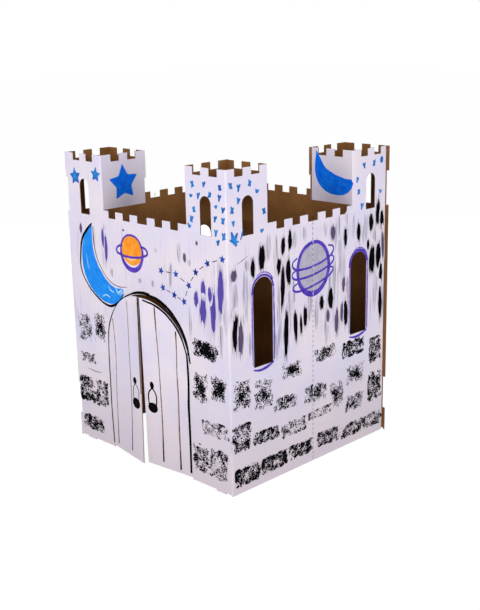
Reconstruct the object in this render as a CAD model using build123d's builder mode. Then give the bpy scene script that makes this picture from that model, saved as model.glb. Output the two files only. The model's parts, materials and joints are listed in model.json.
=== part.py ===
"""Walk-in play castle with three towers, folded from two sheets of white-faced corrugated board.

Each sheet is one piece: a wall with the doorway and, round the fold of one corner, a wall with
two windows. Both walls rise into tower faces at the sheet's ends, and the board beside each tower
face is folded back to close the tower. The rear sheet is turned half round against the front one
and has no tower over its own corner. The free end of each doorway wall runs past the other sheet
as a narrow fin.

Frame, in millimetres: +Z up, the front doorway faces -Y, and the origin lies on the ground
below the middle of the castle's bounding box, with the front door leaves ajar.
"""
from build123d import *

import os
from math import cos, radians, sin

# Board
board = 4.0
fold_inner_radius = 1.5
crease_width = 4.0
outer_crease_depth = 1.0
inner_crease_depth = 0.6

# Castle
castle_width = 900.0
wall_height = 990.0
tower_rise = 210.0

# Battlements: a tower face has three merlons and two crenels, each one tooth wide, and the
# towers at the sheets' joints have wider merlons beside the fold of their inner panels
crenel_depth = 28.0
tower_tooth = 41.4
joint_tower_extra = 9.0
wall_merlon = 44.0
wall_crenel = 42.0
centre_crenel = 56.0
crenels_to_tower = 2

# Free ends of the sheets
fin_reach = 12.0
panel_fin_reach = 8.0
fin_notch_height = 138.0
lower_notch_bottom = 97.0
upper_notch_drop = 98.0
panel_fin_height = 109.0
flange_margin = 3.6
lap_gap = 0.3

# Doorway and its leaves
door_width = 474.0
door_crown = 689.0
leaf_sill = 13.0
hinge_gap = 0.4
leaf_kerf = 0.8
meeting_gap = 2.0
left_leaf_ajar = 9.2
right_leaf_ajar = 6.8

# Windows
window_width = 102.0
window_height = 333.0
window_sill = 467.0
window_from_corner = 175.0
tower_window_width = 56.0
tower_window_from_corner = 104.0
tower_window_height = 140.0

# Feet under the doorway wall
foot_height = 6.0
foot_width = 50.0
foot_from_corner = 60.0

# Sizes that follow
tower_height = wall_height + tower_rise
window_crown = window_sill + window_height
tower_window_sill = wall_height - crenel_depth
tower_window_crown = tower_window_sill + tower_window_height
fold_outer_radius = fold_inner_radius + board
corner_tower_side = 5 * tower_tooth
joint_tower_side = corner_tower_side + joint_tower_extra
flange = tower_tooth - flange_margin
leaf_width = door_width / 2 - meeting_gap / 2
leaf_reach = leaf_width * sin(radians(max(left_leaf_ajar, right_leaf_ajar)))
door_spring = door_crown - door_width / 2
upper_notch_bottom = tower_height - upper_notch_drop - fin_notch_height
through = 2 * board

# Crenels on each side of the widest one, counted from it to a tower or to the corner
first_crenel = (centre_crenel + wall_crenel) / 2 + wall_merlon
crenel_pitch = wall_merlon + wall_crenel
space_to_corner = castle_width / 2 - tower_tooth - wall_crenel / 2 - first_crenel
crenels_to_corner = 1 + int(space_to_corner // crenel_pitch)

# Outer faces of the four walls, and the vertical axis that one sheet is turned about
left_x = -castle_width / 2
right_x = castle_width / 2
middle_y = leaf_reach / 2
front_y = middle_y - castle_width / 2
back_y = middle_y + castle_width / 2
castle_axis = Axis((0, middle_y, 0), (0, 0, 1))
door_face = Plane((0, front_y, 0), x_dir=(1, 0, 0), z_dir=(0, -1, 0))
window_face = Plane((right_x, middle_y, 0), x_dir=(0, 1, 0), z_dir=(1, 0, 0))

# Faces of the tower panels that look into the yard
near_tower_x = right_x - corner_tower_side
near_tower_y = front_y + corner_tower_side
left_tower_x = left_x + joint_tower_side
left_tower_y = front_y + joint_tower_side
right_tower_x = right_x - joint_tower_side
right_tower_y = back_y - joint_tower_side

# Lines on which the flanges lie against the board that they are glued to
lap = board + lap_gap
wall_flange_y = back_y - lap
near_flange_x = near_tower_x + lap
right_flange_x = right_tower_x + lap


def bent_board(*corners, bottom, top):
    """Board that stands along a path of outer-face corners, with a round fold at each."""
    outer = [Vector(*corner) for corner in corners]
    runs = [(end - start).normalized() for start, end in zip(outer, outer[1:])]
    inward = [Vector(-run.Y, run.X) * board for run in runs]
    bends = zip(outer[1:-1], inward, inward[1:])
    inner = [outer[0] + inward[0], *(corner + before + after for corner, before, after in bends)]
    inner.append(outer[-1] + inward[-1])
    with BuildSketch(Plane.XY.offset(bottom)) as section:
        with BuildLine():
            outer_line = FilletPolyline(*outer, radius=fold_outer_radius)
            inner_line = FilletPolyline(*inner, radius=fold_inner_radius)
            Line(outer_line @ 0, inner_line @ 0)
            Line(outer_line @ 1, inner_line @ 1)
        make_face()
    extrude(section.sketch, amount=top - bottom)


def arched(centre, width, sill, crown):
    """Opening with a straight sill and a half-round head, in the sketch in hand."""
    half = width / 2
    spring = crown - half
    with BuildLine() as outline:
        Polyline((centre - half, spring), (centre - half, sill), (centre + half, sill), (centre + half, spring))
        ThreePointArc((centre - half, spring), (centre, crown), (centre + half, spring))
    make_face(outline.edges())


def cut_crease(plane, bottom, top):
    """V-shaped crease up the middle of a wall, on both faces of the board."""
    half = crease_width / 2
    with BuildSketch(Plane(plane.origin + Vector(0, 0, bottom), x_dir=plane.x_dir)) as grooves:
        with BuildLine():
            Polyline((-half, 0), (0, outer_crease_depth), (half, 0), close=True)
        make_face()
        with BuildLine():
            Polyline((-half, board), (0, board - inner_crease_depth), (half, board), close=True)
        make_face()
    extrude(grooves.sketch, amount=top - bottom, mode=Mode.SUBTRACT)


def castle_sheet(corner_tower):
    """One folded sheet, with or without a tower over its own corner."""
    with BuildPart() as sheet:
        # Both walls, bent at the corner, and the flange that lies inside the other sheet
        bent_board(
            (left_x - fin_reach, front_y),
            (right_x, front_y),
            (right_x, wall_flange_y),
            (right_x - flange, wall_flange_y),
            bottom=0,
            top=wall_height,
        )

        # Tower over the corner, which this sheet closes on all four sides
        if corner_tower:
            bent_board(
                (near_tower_x, near_tower_y + panel_fin_reach),
                (near_tower_x, front_y),
                (right_x, front_y),
                (right_x, near_tower_y),
                (near_flange_x, near_tower_y),
                (near_flange_x, near_tower_y - flange),
                bottom=wall_height,
                top=tower_height,
            )

        # Half of the left tower
        bent_board(
            (left_x - fin_reach, front_y),
            (left_tower_x, front_y),
            (left_tower_x, left_tower_y + panel_fin_reach),
            bottom=wall_height,
            top=tower_height,
        )

        # Half of the right tower
        bent_board(
            (right_flange_x, right_tower_y + flange),
            (right_flange_x, right_tower_y),
            (right_x, right_tower_y),
            (right_x, wall_flange_y),
            (right_x - flange, wall_flange_y),
            bottom=wall_height,
            top=tower_height,
        )

        # Battlements of the tower faces, and of the panels folded back from them
        with BuildSketch(Plane.XY.offset(tower_height)):
            for reach in (1.5 * tower_tooth, 3.5 * tower_tooth):
                with Locations(
                    (right_x - reach, front_y),
                    (left_x + reach, front_y),
                    (right_x - reach, near_tower_y),
                    (right_x - reach - joint_tower_extra, right_tower_y),
                ):
                    Rectangle(tower_tooth, 2 * through)
                with Locations(
                    (right_x, front_y + reach),
                    (right_x, back_y - reach),
                    (near_tower_x, front_y + reach),
                    (left_tower_x, front_y + reach + joint_tower_extra),
                ):
                    Rectangle(2 * through, tower_tooth)
        extrude(amount=-crenel_depth, mode=Mode.SUBTRACT)

        # Battlements of the walls, with a wider gap in the middle. They end at a tower, and run on to
        # the corner where there is none
        for face, corner_side in ((door_face, 1), (window_face, -1)):
            with BuildSketch(face):
                with Locations((0, wall_height)):
                    Rectangle(centre_crenel, 2 * crenel_depth)
                for side in (-1, 1):
                    ends_at_tower = corner_tower or side != corner_side
                    for step in range(crenels_to_tower if ends_at_tower else crenels_to_corner):
                        with Locations((side * (first_crenel + step * crenel_pitch), wall_height)):
                            Rectangle(wall_crenel, 2 * crenel_depth)
            extrude(amount=through, both=True, mode=Mode.SUBTRACT)

        # Doorway, open down to the ground
        with BuildSketch(door_face):
            arched(0, door_width, -board, door_crown)
        extrude(amount=through, both=True, mode=Mode.SUBTRACT)

        # Wall windows
        with BuildSketch(window_face):
            for side in (-1, 1):
                centre = side * (castle_width / 2 - window_from_corner)
                arched(centre, window_width, window_sill, window_crown)
        extrude(amount=through, both=True, mode=Mode.SUBTRACT)

        # Tower windows, in outer faces only
        for face, corner_side in ((door_face, 1), (window_face, -1)):
            with BuildSketch(face):
                for side in (-1, 1):
                    if corner_tower or side != corner_side:
                        centre = side * (castle_width / 2 - tower_window_from_corner)
                        arched(centre, tower_window_width, tower_window_sill, tower_window_crown)
            extrude(amount=through, both=True, mode=Mode.SUBTRACT)

        # Notches in the free end of the doorway wall
        with BuildSketch(door_face):
            for notch_bottom in (lower_notch_bottom, upper_notch_bottom):
                with Locations((left_x, notch_bottom)):
                    Rectangle(2 * fin_reach, fin_notch_height, align=(Align.MAX, Align.MIN))
        extrude(amount=through, both=True, mode=Mode.SUBTRACT)

        # The tower panels' own fins start some way up
        panel_notch_top = tower_height - panel_fin_height
        with BuildSketch(Plane.XY.offset(wall_height)):
            with Locations((left_tower_x, left_tower_y), (near_tower_x, near_tower_y)):
                Rectangle(2 * through, 2 * panel_fin_reach, align=(Align.CENTER, Align.MIN))
        extrude(amount=panel_notch_top - wall_height, mode=Mode.SUBTRACT)

        # Feet: the doorway wall and the flange are cut away between and beside them
        foot_x = castle_width / 2 - foot_from_corner
        with BuildSketch(Plane.XY):
            with Locations((-fin_reach / 2, front_y)):
                Rectangle(castle_width + fin_reach - 2 * fold_outer_radius, 2 * through)
            with Locations((-foot_x, front_y), (foot_x, front_y)):
                Rectangle(foot_width, 2 * through, mode=Mode.SUBTRACT)
            with Locations((right_x - fold_outer_radius, wall_flange_y)):
                Rectangle(flange, 2 * through, align=(Align.MAX, Align.CENTER))
        extrude(amount=foot_height, mode=Mode.SUBTRACT)

        # Creases up the middle of each wall, for packing it flat
        cut_crease(door_face, door_crown, wall_height)
        cut_crease(window_face, 0, wall_height)
    return sheet.part


with BuildPart() as front_sheet:
    add(castle_sheet(corner_tower=True))
front_sheet.part.label = "front_sheet"

with BuildPart() as rear_sheet:
    add(castle_sheet(corner_tower=False).rotate(castle_axis, 180))
rear_sheet.part.label = "rear_sheet"


def door_leaf(side, ajar):
    """Leaf on the left (-1) or right (+1) of the front doorway, swung out by ajar degrees."""
    turn = radians(ajar)
    hinge = (side * door_width / 2, front_y, 0)
    to_free_edge = (-side * cos(turn), -sin(turn), 0)
    square_to_leaf = (-sin(turn), side * cos(turn), 0)
    half_door = door_width / 2
    with BuildPart() as leaf:
        with BuildSketch(Plane(hinge, x_dir=to_free_edge, z_dir=square_to_leaf)):
            with Locations((half_door, door_spring)):
                Circle(half_door - leaf_kerf)
                Rectangle(door_width, door_spring, align=(Align.CENTER, Align.MAX))
            with Locations((hinge_gap, leaf_sill)):
                Rectangle(
                    leaf_width - hinge_gap,
                    door_crown,
                    align=(Align.MIN, Align.MIN),
                    mode=Mode.INTERSECT,
                )
        extrude(amount=side * board)
    return leaf.part


with BuildPart() as front_left_door:
    add(door_leaf(-1, left_leaf_ajar))
front_left_door.part.label = "front_left_door"

with BuildPart() as front_right_door:
    add(door_leaf(1, right_leaf_ajar))
front_right_door.part.label = "front_right_door"

with BuildPart() as rear_left_door:
    add(door_leaf(-1, 0).rotate(castle_axis, 180))
rear_left_door.part.label = "rear_left_door"

with BuildPart() as rear_right_door:
    add(door_leaf(1, 0).rotate(castle_axis, 180))
rear_right_door.part.label = "rear_right_door"

os.makedirs("parts", exist_ok=True)
export_step(front_sheet.part, "parts/front_sheet.step")
export_step(rear_sheet.part, "parts/rear_sheet.step")
export_step(front_left_door.part, "parts/front_left_door.step")
export_step(front_right_door.part, "parts/front_right_door.step")
export_step(rear_left_door.part, "parts/rear_left_door.step")
export_step(rear_right_door.part, "parts/rear_right_door.step")
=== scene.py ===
"""Looks of the painted cardboard play castle: folded board, poster paint and a plain studio.

Sizes in the tables are millimetres, as a painter would measure them on a wall: "along" runs to the
right as one faces the wall from outside, and "up" runs from the ground.
"""
import json
import logging
import math
import random
from collections.abc import Callable, Iterator
from contextlib import contextmanager
from dataclasses import dataclass
from enum import Enum
from functools import partial
from typing import ClassVar

import bpy
from mathutils import Matrix, Vector

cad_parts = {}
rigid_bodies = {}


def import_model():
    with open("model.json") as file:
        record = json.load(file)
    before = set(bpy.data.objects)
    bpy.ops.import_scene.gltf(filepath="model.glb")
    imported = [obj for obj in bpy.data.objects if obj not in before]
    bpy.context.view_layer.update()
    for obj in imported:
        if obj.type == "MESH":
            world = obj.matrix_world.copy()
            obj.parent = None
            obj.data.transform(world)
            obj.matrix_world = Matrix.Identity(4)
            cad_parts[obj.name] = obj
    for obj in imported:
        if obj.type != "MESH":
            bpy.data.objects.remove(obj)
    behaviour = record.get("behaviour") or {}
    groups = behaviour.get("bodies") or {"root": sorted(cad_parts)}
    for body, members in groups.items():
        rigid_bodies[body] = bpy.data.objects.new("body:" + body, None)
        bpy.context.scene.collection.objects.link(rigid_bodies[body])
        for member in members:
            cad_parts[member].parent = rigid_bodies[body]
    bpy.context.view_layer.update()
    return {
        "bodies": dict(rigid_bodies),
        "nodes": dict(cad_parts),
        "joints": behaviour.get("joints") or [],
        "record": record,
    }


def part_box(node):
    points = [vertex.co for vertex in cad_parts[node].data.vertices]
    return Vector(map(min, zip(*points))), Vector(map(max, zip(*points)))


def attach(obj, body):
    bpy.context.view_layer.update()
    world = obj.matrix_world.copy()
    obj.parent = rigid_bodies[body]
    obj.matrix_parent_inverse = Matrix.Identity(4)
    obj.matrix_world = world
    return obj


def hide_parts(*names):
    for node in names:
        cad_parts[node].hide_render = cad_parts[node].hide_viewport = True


MM = 0.001
BOARD = 4.0
LAP_GAP = 0.3
FLUTE_PITCH = 7.9
LINER_RELIEF = 0.12
WALL_MIDDLE = 450.0
ARCH_SPRING = 452.0
# Distances from the arch's middle between which the doorway's cut head lies
DOORWAY_HEAD = (222, 243)
LEAF_WIDTH = 236
WINDOW_MIDDLES = (175, 725)
SLIT_PITCH = 20
CASTLE = "castle"

Node = bpy.types.Node
Socket = bpy.types.NodeSocket
Adder = Callable[..., Node]
Surface = tuple[Node | Socket, Node | Socket, float]
Knot = tuple[float, float, float]
Path = list[Knot] | tuple[Knot, ...]


def linear(code: str) -> tuple[float, float, float, float]:
    """Turns an sRGB hex colour into the linear colour that shaders take.

    Args:
        code: the colour as "#rrggbb".

    Returns:
        Red, green, blue and alpha.
    """
    channels = (int(code[i : i + 2], 16) / 255 for i in (1, 3, 5))
    return (*(c / 12.92 if c <= 0.04045 else ((c + 0.055) / 1.055) ** 2.4 for c in channels), 1.0)


def output_of(source: Node | Socket) -> Socket:
    """The socket that a source is read by.

    Args:
        source: a node or one of its outputs.

    Returns:
        The node's first output in use, or the output that was given.
    """
    if isinstance(source, Socket):
        return source
    return next(socket for socket in source.outputs if socket.enabled)


def add_node(
    tree: bpy.types.NodeTree,
    kind: str,
    inputs: dict[int | str, Node | Socket | float | tuple] | None = None,
    **settings: object,
) -> Node:
    """Adds a shader node with its settings and links.

    Args:
        tree: the tree that takes the node.
        kind: the node's type, without the leading "ShaderNode".
        inputs: for each socket, by place or name, a value, or the node or output that feeds it.
        settings: the node's own properties.

    Returns:
        The new node.
    """
    node = tree.nodes.new("ShaderNode" + kind)
    for name, value in settings.items():
        setattr(node, name, value)
    for key, value in (inputs or {}).items():
        if isinstance(value, Node | Socket):
            tree.links.new(output_of(value), node.inputs[key])
        else:
            node.inputs[key].default_value = value
    return node


class Bench:
    """The few moves that every piece is made with."""

    @staticmethod
    def pick(piece: bpy.types.Object) -> None:
        """Selects one piece alone and makes it the active one.

        Args:
            piece: the piece to work on.
        """
        bpy.ops.object.select_all(action="DESELECT")
        piece.select_set(True)
        bpy.context.view_layer.objects.active = piece

    @staticmethod
    @contextmanager
    def shaping() -> Iterator[None]:
        """Holds the active piece in edit mode, with all of it selected at the start.

        Yields:
            Nothing: the operators in the block work on the piece.
        """
        bpy.ops.object.mode_set(mode="EDIT")
        bpy.ops.mesh.select_all(action="SELECT")
        yield
        bpy.ops.object.mode_set(mode="OBJECT")

    @staticmethod
    def finish_with(piece: bpy.types.Object, kind: str, **settings: object) -> None:
        """Adds a modifier and applies it.

        Args:
            piece: the mesh piece.
            kind: the modifier's type.
            settings: the modifier's properties.
        """
        modifier = piece.modifiers.new(kind.title(), kind)
        for name, value in settings.items():
            setattr(modifier, name, value)
        Bench.pick(piece)
        bpy.ops.object.modifier_apply(modifier=modifier.name)

    @staticmethod
    def settle(piece: bpy.types.Object, place: Matrix | None = None) -> None:
        """Puts a piece where the matrix says and moves that place into its mesh.

        Args:
            piece: the mesh piece.
            place: its place in the castle's frame, or None to keep where it is.
        """
        if place is not None:
            piece.matrix_world = place
        Bench.pick(piece)
        bpy.ops.object.transform_apply(location=True, rotation=True, scale=True)

    @staticmethod
    def size(item: bpy.types.Object, width: float, height: float) -> None:
        """Brings a flat item that is one metre across to its size in millimetres."""
        item.scale = (width * MM, height * MM, 1)
        Bench.settle(item)

    @staticmethod
    def join(name: str, parts: list[bpy.types.Object]) -> bpy.types.Object:
        """Joins parts into one piece.

        Args:
            name: the piece's name.
            parts: what it is made of.

        Returns:
            The joined piece.
        """
        bpy.ops.object.select_all(action="DESELECT")
        for part in parts:
            part.select_set(True)
        bpy.context.view_layer.objects.active = parts[0]
        if len(parts) > 1:
            bpy.ops.object.join()
        parts[0].name = name
        parts[0].data.name = name
        return parts[0]


@dataclass(frozen=True)
class Wall:
    """A flat face of the castle and the places on it.

    Attributes:
        x: where the face begins at its left end, in metres.
        y: the same, in metres.
        heading: direction of "along", in degrees from +X towards +Y.
        body: the body that the face belongs to.
        hinge_side: -1 or 1 on a door leaf that hangs on its left or right edge, else 0.
        twist: how much further the leaf's foot stands open than its top, in degrees.
    """

    x: float
    y: float
    heading: float
    body: str = CASTLE
    hinge_side: int = 0
    twist: float = 0.0

    @property
    def corner(self) -> Vector:
        """The foot of the face's left end."""
        return Vector((self.x, self.y, 0))

    @property
    def right(self) -> Vector:
        """The direction of "along"."""
        return Vector((math.cos(math.radians(self.heading)), math.sin(math.radians(self.heading)), 0))

    @property
    def normal(self) -> Vector:
        """The direction that the face looks in."""
        return self.right.cross(Vector((0, 0, 1)))

    def place(self, along: float = 0.0, up: float = 0.0, lift: float = 0.0, turn: float = 0.0) -> Matrix:
        """The place of a flat item on the face.

        Args:
            along: where its middle is, along the face.
            up: how high its middle is.
            lift: how far it stands off the face.
            turn: its turn in the face, in degrees anticlockwise.

        Returns:
            The matrix from the item's own plane to the castle's frame.
        """
        middle = self.corner + self.right * along * MM
        middle += Vector((0, 0, up * MM)) + self.normal * lift * MM
        axes = Matrix((self.right, Vector((0, 0, 1)), self.normal)).transposed().to_4x4()
        return Matrix.Translation(middle) @ axes @ Matrix.Rotation(math.radians(turn), 4, "Z")


class BoardTones:
    """Colour and relief shared by the board's faces, and by the paint that lets them show through."""

    _groups: dict[str, bpy.types.NodeTree] = {}

    @classmethod
    def group(cls, name: str) -> bpy.types.NodeTree:
        """The shared node group of a liner, made on first use.

        Args:
            name: "white_liner" or "kraft_liner".

        Returns:
            The group, with the outputs Color and Height.
        """
        if name not in cls._groups:
            tree = bpy.data.node_groups.new(name, "ShaderNodeTree")
            tree.interface.new_socket("Color", in_out="OUTPUT", socket_type="NodeSocketColor")
            tree.interface.new_socket("Height", in_out="OUTPUT", socket_type="NodeSocketFloat")
            made = getattr(cls, name)(partial(add_node, tree))
            end = tree.nodes.new("NodeGroupOutput")
            for source, socket in zip(made, end.inputs):
                tree.links.new(output_of(source), socket)
            cls._groups[name] = tree
        return cls._groups[name]

    @staticmethod
    def flutes(node: Adder, place: Socket) -> Node:
        """Upright waves of the fluted core under a liner, one flute to 7.9 mm of wall.

        Args:
            node: adds a node to the tree in hand.
            place: Object coordinates.

        Returns:
            A wave from -1 to 1.
        """
        axes = node("SeparateXYZ", {0: place})
        run = node("Math", {0: axes.outputs[0], 1: axes.outputs[1]}, operation="ADD")
        phase = node("Math", {0: run, 1: 2 * math.pi / (FLUTE_PITCH * MM)}, operation="MULTIPLY")
        return node("Math", {0: phase}, operation="SINE")

    @staticmethod
    def white_liner(node: Adder) -> tuple[Node, Node]:
        """White clay-coated liner with a thin lilac wash brushed up and down over it.

        Args:
            node: adds a node to the group.

        Returns:
            The colour and the height.
        """
        place = node("TexCoord").outputs["Object"]
        axes = node("SeparateXYZ", {0: place})
        height = axes.outputs[2]
        clouds = node("TexNoise", {"Vector": place, "Scale": 5.0, "Detail": 3.0})
        warm = node("MapRange", {0: clouds, 1: 0.36, 2: 0.64})
        wash = node("Mix", {0: warm, 6: linear("#dfd8ee"), 7: linear("#e9dfea")}, data_type="RGBA")
        # Painted shade and warm bounce light off the ground: the lowest part is darker and pinker
        low = node("MapRange", {0: height, 1: 0.42, 2: 0.0, 3: 0.0, 4: 0.62})
        ground_shaded = node("Mix", {0: low, 6: wash, 7: linear("#d3c5cb")}, data_type="RGBA")
        # Dry brush marks of grey-lilac paint: 12 mm wide, some 170 mm long
        tall = node("Mapping", {"Vector": place, "Scale": (82.0, 82.0, 6.0)})
        bristles = node("TexNoise", {"Vector": tall, "Scale": 1.0, "Detail": 2.0, "Roughness": 0.6})
        drag = node("MapRange", {0: bristles, 1: 0.50, 2: 0.72})
        patches = node("TexNoise", {"Vector": place, "Scale": 7.0, "Detail": 1.0})
        where = node("MapRange", {0: patches, 1: 0.40, 2: 0.62})
        rise = node("MapRange", {0: height, 1: 0.46, 2: 0.56})
        fall = node("MapRange", {0: height, 1: 0.97, 2: 0.90})
        # The window walls were brushed more than the doorway walls
        off_centre = node("Math", {0: axes.outputs[0]}, operation="ABSOLUTE")
        share = node("MapRange", {0: off_centre, 1: 0.33, 2: 0.449, 3: 0.22, 4: 0.85})
        amount = rise
        for factor in (fall, where, drag, share):
            amount = node("Math", {0: amount, 1: factor}, operation="MULTIPLY")
        brushed = node("Mix", {0: amount, 6: ground_shaded, 7: linear("#8f86a6")}, data_type="RGBA")
        grain = node("TexNoise", {"Vector": place, "Scale": 900.0, "Detail": 2.0})
        wave = BoardTones.flutes(node, place)
        return brushed, node("Math", {0: wave, 1: 0.35, 2: grain}, operation="MULTIPLY_ADD")

    @staticmethod
    def kraft_liner(node: Adder) -> tuple[Node, Node]:
        """Brown kraft liner, with fibres in it and faint painted shade along the flutes under it.

        Args:
            node: adds a node to the group.

        Returns:
            The colour and the height.
        """
        place = node("TexCoord").outputs["Object"]
        clouds = node("TexNoise", {"Vector": place, "Scale": 9.0, "Detail": 4.0})
        fibres = node("Mapping", {"Vector": place, "Scale": (260.0, 260.0, 60.0)})
        flecks = node("TexNoise", {"Vector": fibres, "Scale": 1.0, "Detail": 3.0})
        wave = BoardTones.flutes(node, place)
        # Painted shade: the flutes' wave darkens the brown in faint upright lines, as the ridges would shade
        # it
        shade = node("Math", {0: wave, 1: 0.05, 2: clouds}, operation="MULTIPLY_ADD")
        tone = node("MapRange", {0: shade, 1: 0.3, 2: 0.7})
        brown = node("Mix", {0: tone, 6: linear("#7b522a"), 7: linear("#906338")}, data_type="RGBA")
        speck = node("MapRange", {0: flecks, 1: 0.60, 2: 0.74, 3: 0.0, 4: 0.5})
        paper = node("Mix", {0: speck, 6: brown, 7: linear("#5a3819")}, data_type="RGBA")
        grain = node("TexNoise", {"Vector": place, "Scale": 700.0, "Detail": 2.0})
        return paper, node("Math", {0: wave, 1: 0.6, 2: grain}, operation="MULTIPLY_ADD")


def off_middle(node: Adder, spread: Socket) -> Node:
    """How far each place lies from an item's middle, across and up it, with 1 at its rim.

    Args:
        node: adds a node to the material.
        spread: the item's UV coordinates, from 0 to 1 each way.

    Returns:
        A node that has the two distances as its first two outputs.
    """
    centred = node("Mapping", {"Vector": spread, "Location": (-1.0, -1.0, 0.0), "Scale": (2.0, 2.0, 0.0)})
    return node("SeparateXYZ", {0: node("VectorMath", {0: centred}, operation="ABSOLUTE")})


@dataclass(frozen=True)
class Finish:
    """A finish with its name and the sheen of its surface."""

    name: str
    roughness: float = 0.6
    specular: float = 0.25

    def material(self) -> bpy.types.Material:
        """The finish's material, made on first use.

        Returns:
            The material.
        """
        made = bpy.data.materials.get(self.name)
        if made is None:
            made = bpy.data.materials.new(self.name)
            made.use_nodes = True
            tree = made.node_tree
            shader = tree.nodes["Principled BSDF"]
            shader.inputs["Roughness"].default_value = self.roughness
            shader.inputs["Specular IOR Level"].default_value = self.specular
            colour, height, relief = self.surface(partial(add_node, tree))
            bump = add_node(tree, "Bump", {"Strength": 0.5, "Distance": relief * MM, "Height": height})
            tree.links.new(output_of(colour), shader.inputs["Base Color"])
            tree.links.new(output_of(bump), shader.inputs["Normal"])
        return made

    def surface(self, node: Adder) -> Surface:
        """Builds the colour and relief of the finish.

        Args:
            node: adds a node to the material.

        Returns:
            The colour, the height, and the relief's depth in millimetres.
        """
        raise NotImplementedError


@dataclass(frozen=True)
class Liner(Finish):
    """Outer or inner liner paper of the board: matt, with the core's flutes felt through it."""

    tones: str = "white_liner"

    def surface(self, node: Adder) -> Surface:
        """Takes the liner's colour and relief from the shared group."""
        paper = node("Group", node_tree=BoardTones.group(self.tones))
        return paper.outputs[0], paper.outputs[1], LINER_RELIEF


@dataclass(frozen=True)
class CutEdge(Finish):
    """Die-cut edge of single-wall board: the fluted core between a white and a brown liner, with painted
    shade in its hollow flutes.

    The edge's own UV map has the run of the edge in millimetres and the depth through the board from 0
    at the white liner to 1 at the brown one.
    """

    def surface(self, node: Adder) -> Surface:
        """Builds the wavy core, seen end-on on level edges and from its side on upright ones, with painted
        shade in the hollow flutes beside it.

        Args:
            node: adds a node to the material.

        Returns:
            The colour, the height, and the relief's depth in millimetres.
        """
        coords = node("TexCoord")
        axes = node("SeparateXYZ", {0: coords.outputs["UV"]})
        depth = axes.outputs[1]
        facing = node("SeparateXYZ", {0: coords.outputs["Normal"]})
        level = node("Math", {0: facing.outputs[2]}, operation="ABSOLUTE")
        end_on = node("Math", {0: level, 1: 0.7}, operation="GREATER_THAN")
        phase = node("Math", {0: axes.outputs[0], 1: 2 * math.pi / FLUTE_PITCH}, operation="MULTIPLY")
        wave = node("Math", {0: phase}, operation="SINE")
        swing = node("Math", {0: end_on, 1: 0.34}, operation="MULTIPLY")
        crest = node("Math", {0: wave, 1: swing, 2: 0.5}, operation="MULTIPLY_ADD")
        gap = node("Math", {0: depth, 1: crest}, operation="SUBTRACT")
        off = node("Math", {0: gap}, operation="ABSOLUTE")
        # Painted shade: away from the core's paper the hollow flutes are coloured dark brown
        core = node("MapRange", {0: off, 1: 0.16, 2: 0.08})
        tone = node("Mix", {0: core, 6: linear("#4a3220"), 7: linear("#a98460")}, data_type="RGBA")
        for start, end, paper in ((0.20, 0.12, "#d9d0dc"), (0.84, 0.90, "#94704e")):
            liner = node("MapRange", {0: depth, 1: start, 2: end})
            tone = node("Mix", {0: liner, 6: tone, 7: linear(paper)}, data_type="RGBA")
        return tone, core, 0.4


@dataclass(frozen=True)
class PosterPaint(Finish):
    """Poster paint laid on with a brush: matt and opaque, with bristle streaks along the stroke.

    A stroke's UV map has millimetres along and across it.
    """

    thick: str = "#000000"
    thin: str = "#000000"
    streak: float = 2.5
    patchy: float = 0.5

    def surface(self, node: Adder) -> Surface:
        """Builds the streaks along the stroke and the paint's thick and thin places.

        Args:
            node: adds a node to the material.

        Returns:
            The colour, the height, and the relief's depth in millimetres.
        """
        coords = node("TexCoord")
        drawn = node("Mapping", {"Vector": coords.outputs["UV"], "Scale": (0.025, 1 / self.streak, 1.0)})
        bristles = node("TexNoise", {"Vector": drawn, "Scale": 1.0, "Detail": 3.0})
        pools = node("TexNoise", {"Vector": coords.outputs["Object"], "Scale": 45.0, "Detail": 2.0})
        mixed = node("Mix", {0: self.patchy, 2: bristles, 3: pools}, data_type="FLOAT")
        load = node("MapRange", {0: mixed, 1: 0.38, 2: 0.66})
        colour = node("Mix", {0: load, 6: linear(self.thick), 7: linear(self.thin)}, data_type="RGBA")
        return colour, bristles, 0.15


@dataclass(frozen=True)
class BrushDab(Finish):
    """One press of a loaded flat brush: solid in the middle, dry and streaky at its ends.

    The dab's UV map runs from 0 to 1 across and up it.
    """

    ink: str = "#000000"
    cover: float = 1.0
    drag: float = 0.55

    def surface(self, node: Adder) -> Surface:
        """Builds the solid core, its dry ends and the pale drag round it, with the board between.

        Args:
            node: adds a node to the material.

        Returns:
            The colour, the height, and the relief's depth in millimetres.
        """
        coords = node("TexCoord")
        place = coords.outputs["Object"]
        paper = node("Group", node_tree=BoardTones.group("white_liner"))
        across, upward = off_middle(node, coords.outputs["UV"]).outputs[:2]
        ends = node("Math", {0: upward, 1: 0.68}, operation="MULTIPLY")
        press = node("Math", {0: across, 1: ends, 2: 0.42}, operation="SMOOTH_MAX")
        tall = node("Mapping", {"Vector": place, "Scale": (230.0, 230.0, 15.0)})
        bristles = node("TexNoise", {"Vector": tall, "Scale": 1.0, "Detail": 2.0})
        fray = node("Math", {0: upward, 1: 0.9, 2: 0.22}, operation="MULTIPLY_ADD")
        ragged = node("Math", {0: bristles, 1: fray, 2: press}, operation="MULTIPLY_ADD")
        solid = node("MapRange", {0: ragged, 1: 0.80, 2: 0.75, 3: 0.0, 4: self.cover})
        thin = node("Mapping", {"Vector": place, "Scale": (310.0, 310.0, 9.0)})
        hairs = node("TexNoise", {"Vector": thin, "Scale": 1.0, "Detail": 1.0})
        combed = node("MapRange", {0: hairs, 1: 0.44, 2: 0.60})
        reach = node("MapRange", {0: ragged, 1: 1.14, 2: 0.80, 3: 0.0, 4: self.drag})
        drag = node("Math", {0: combed, 1: reach}, operation="MULTIPLY")
        amount = node("Math", {0: solid, 1: drag}, operation="MAXIMUM")
        colour = node("Mix", {0: amount, 6: paper.outputs[0], 7: linear(self.ink)}, data_type="RGBA")
        return colour, paper.outputs[1], LINER_RELIEF


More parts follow.
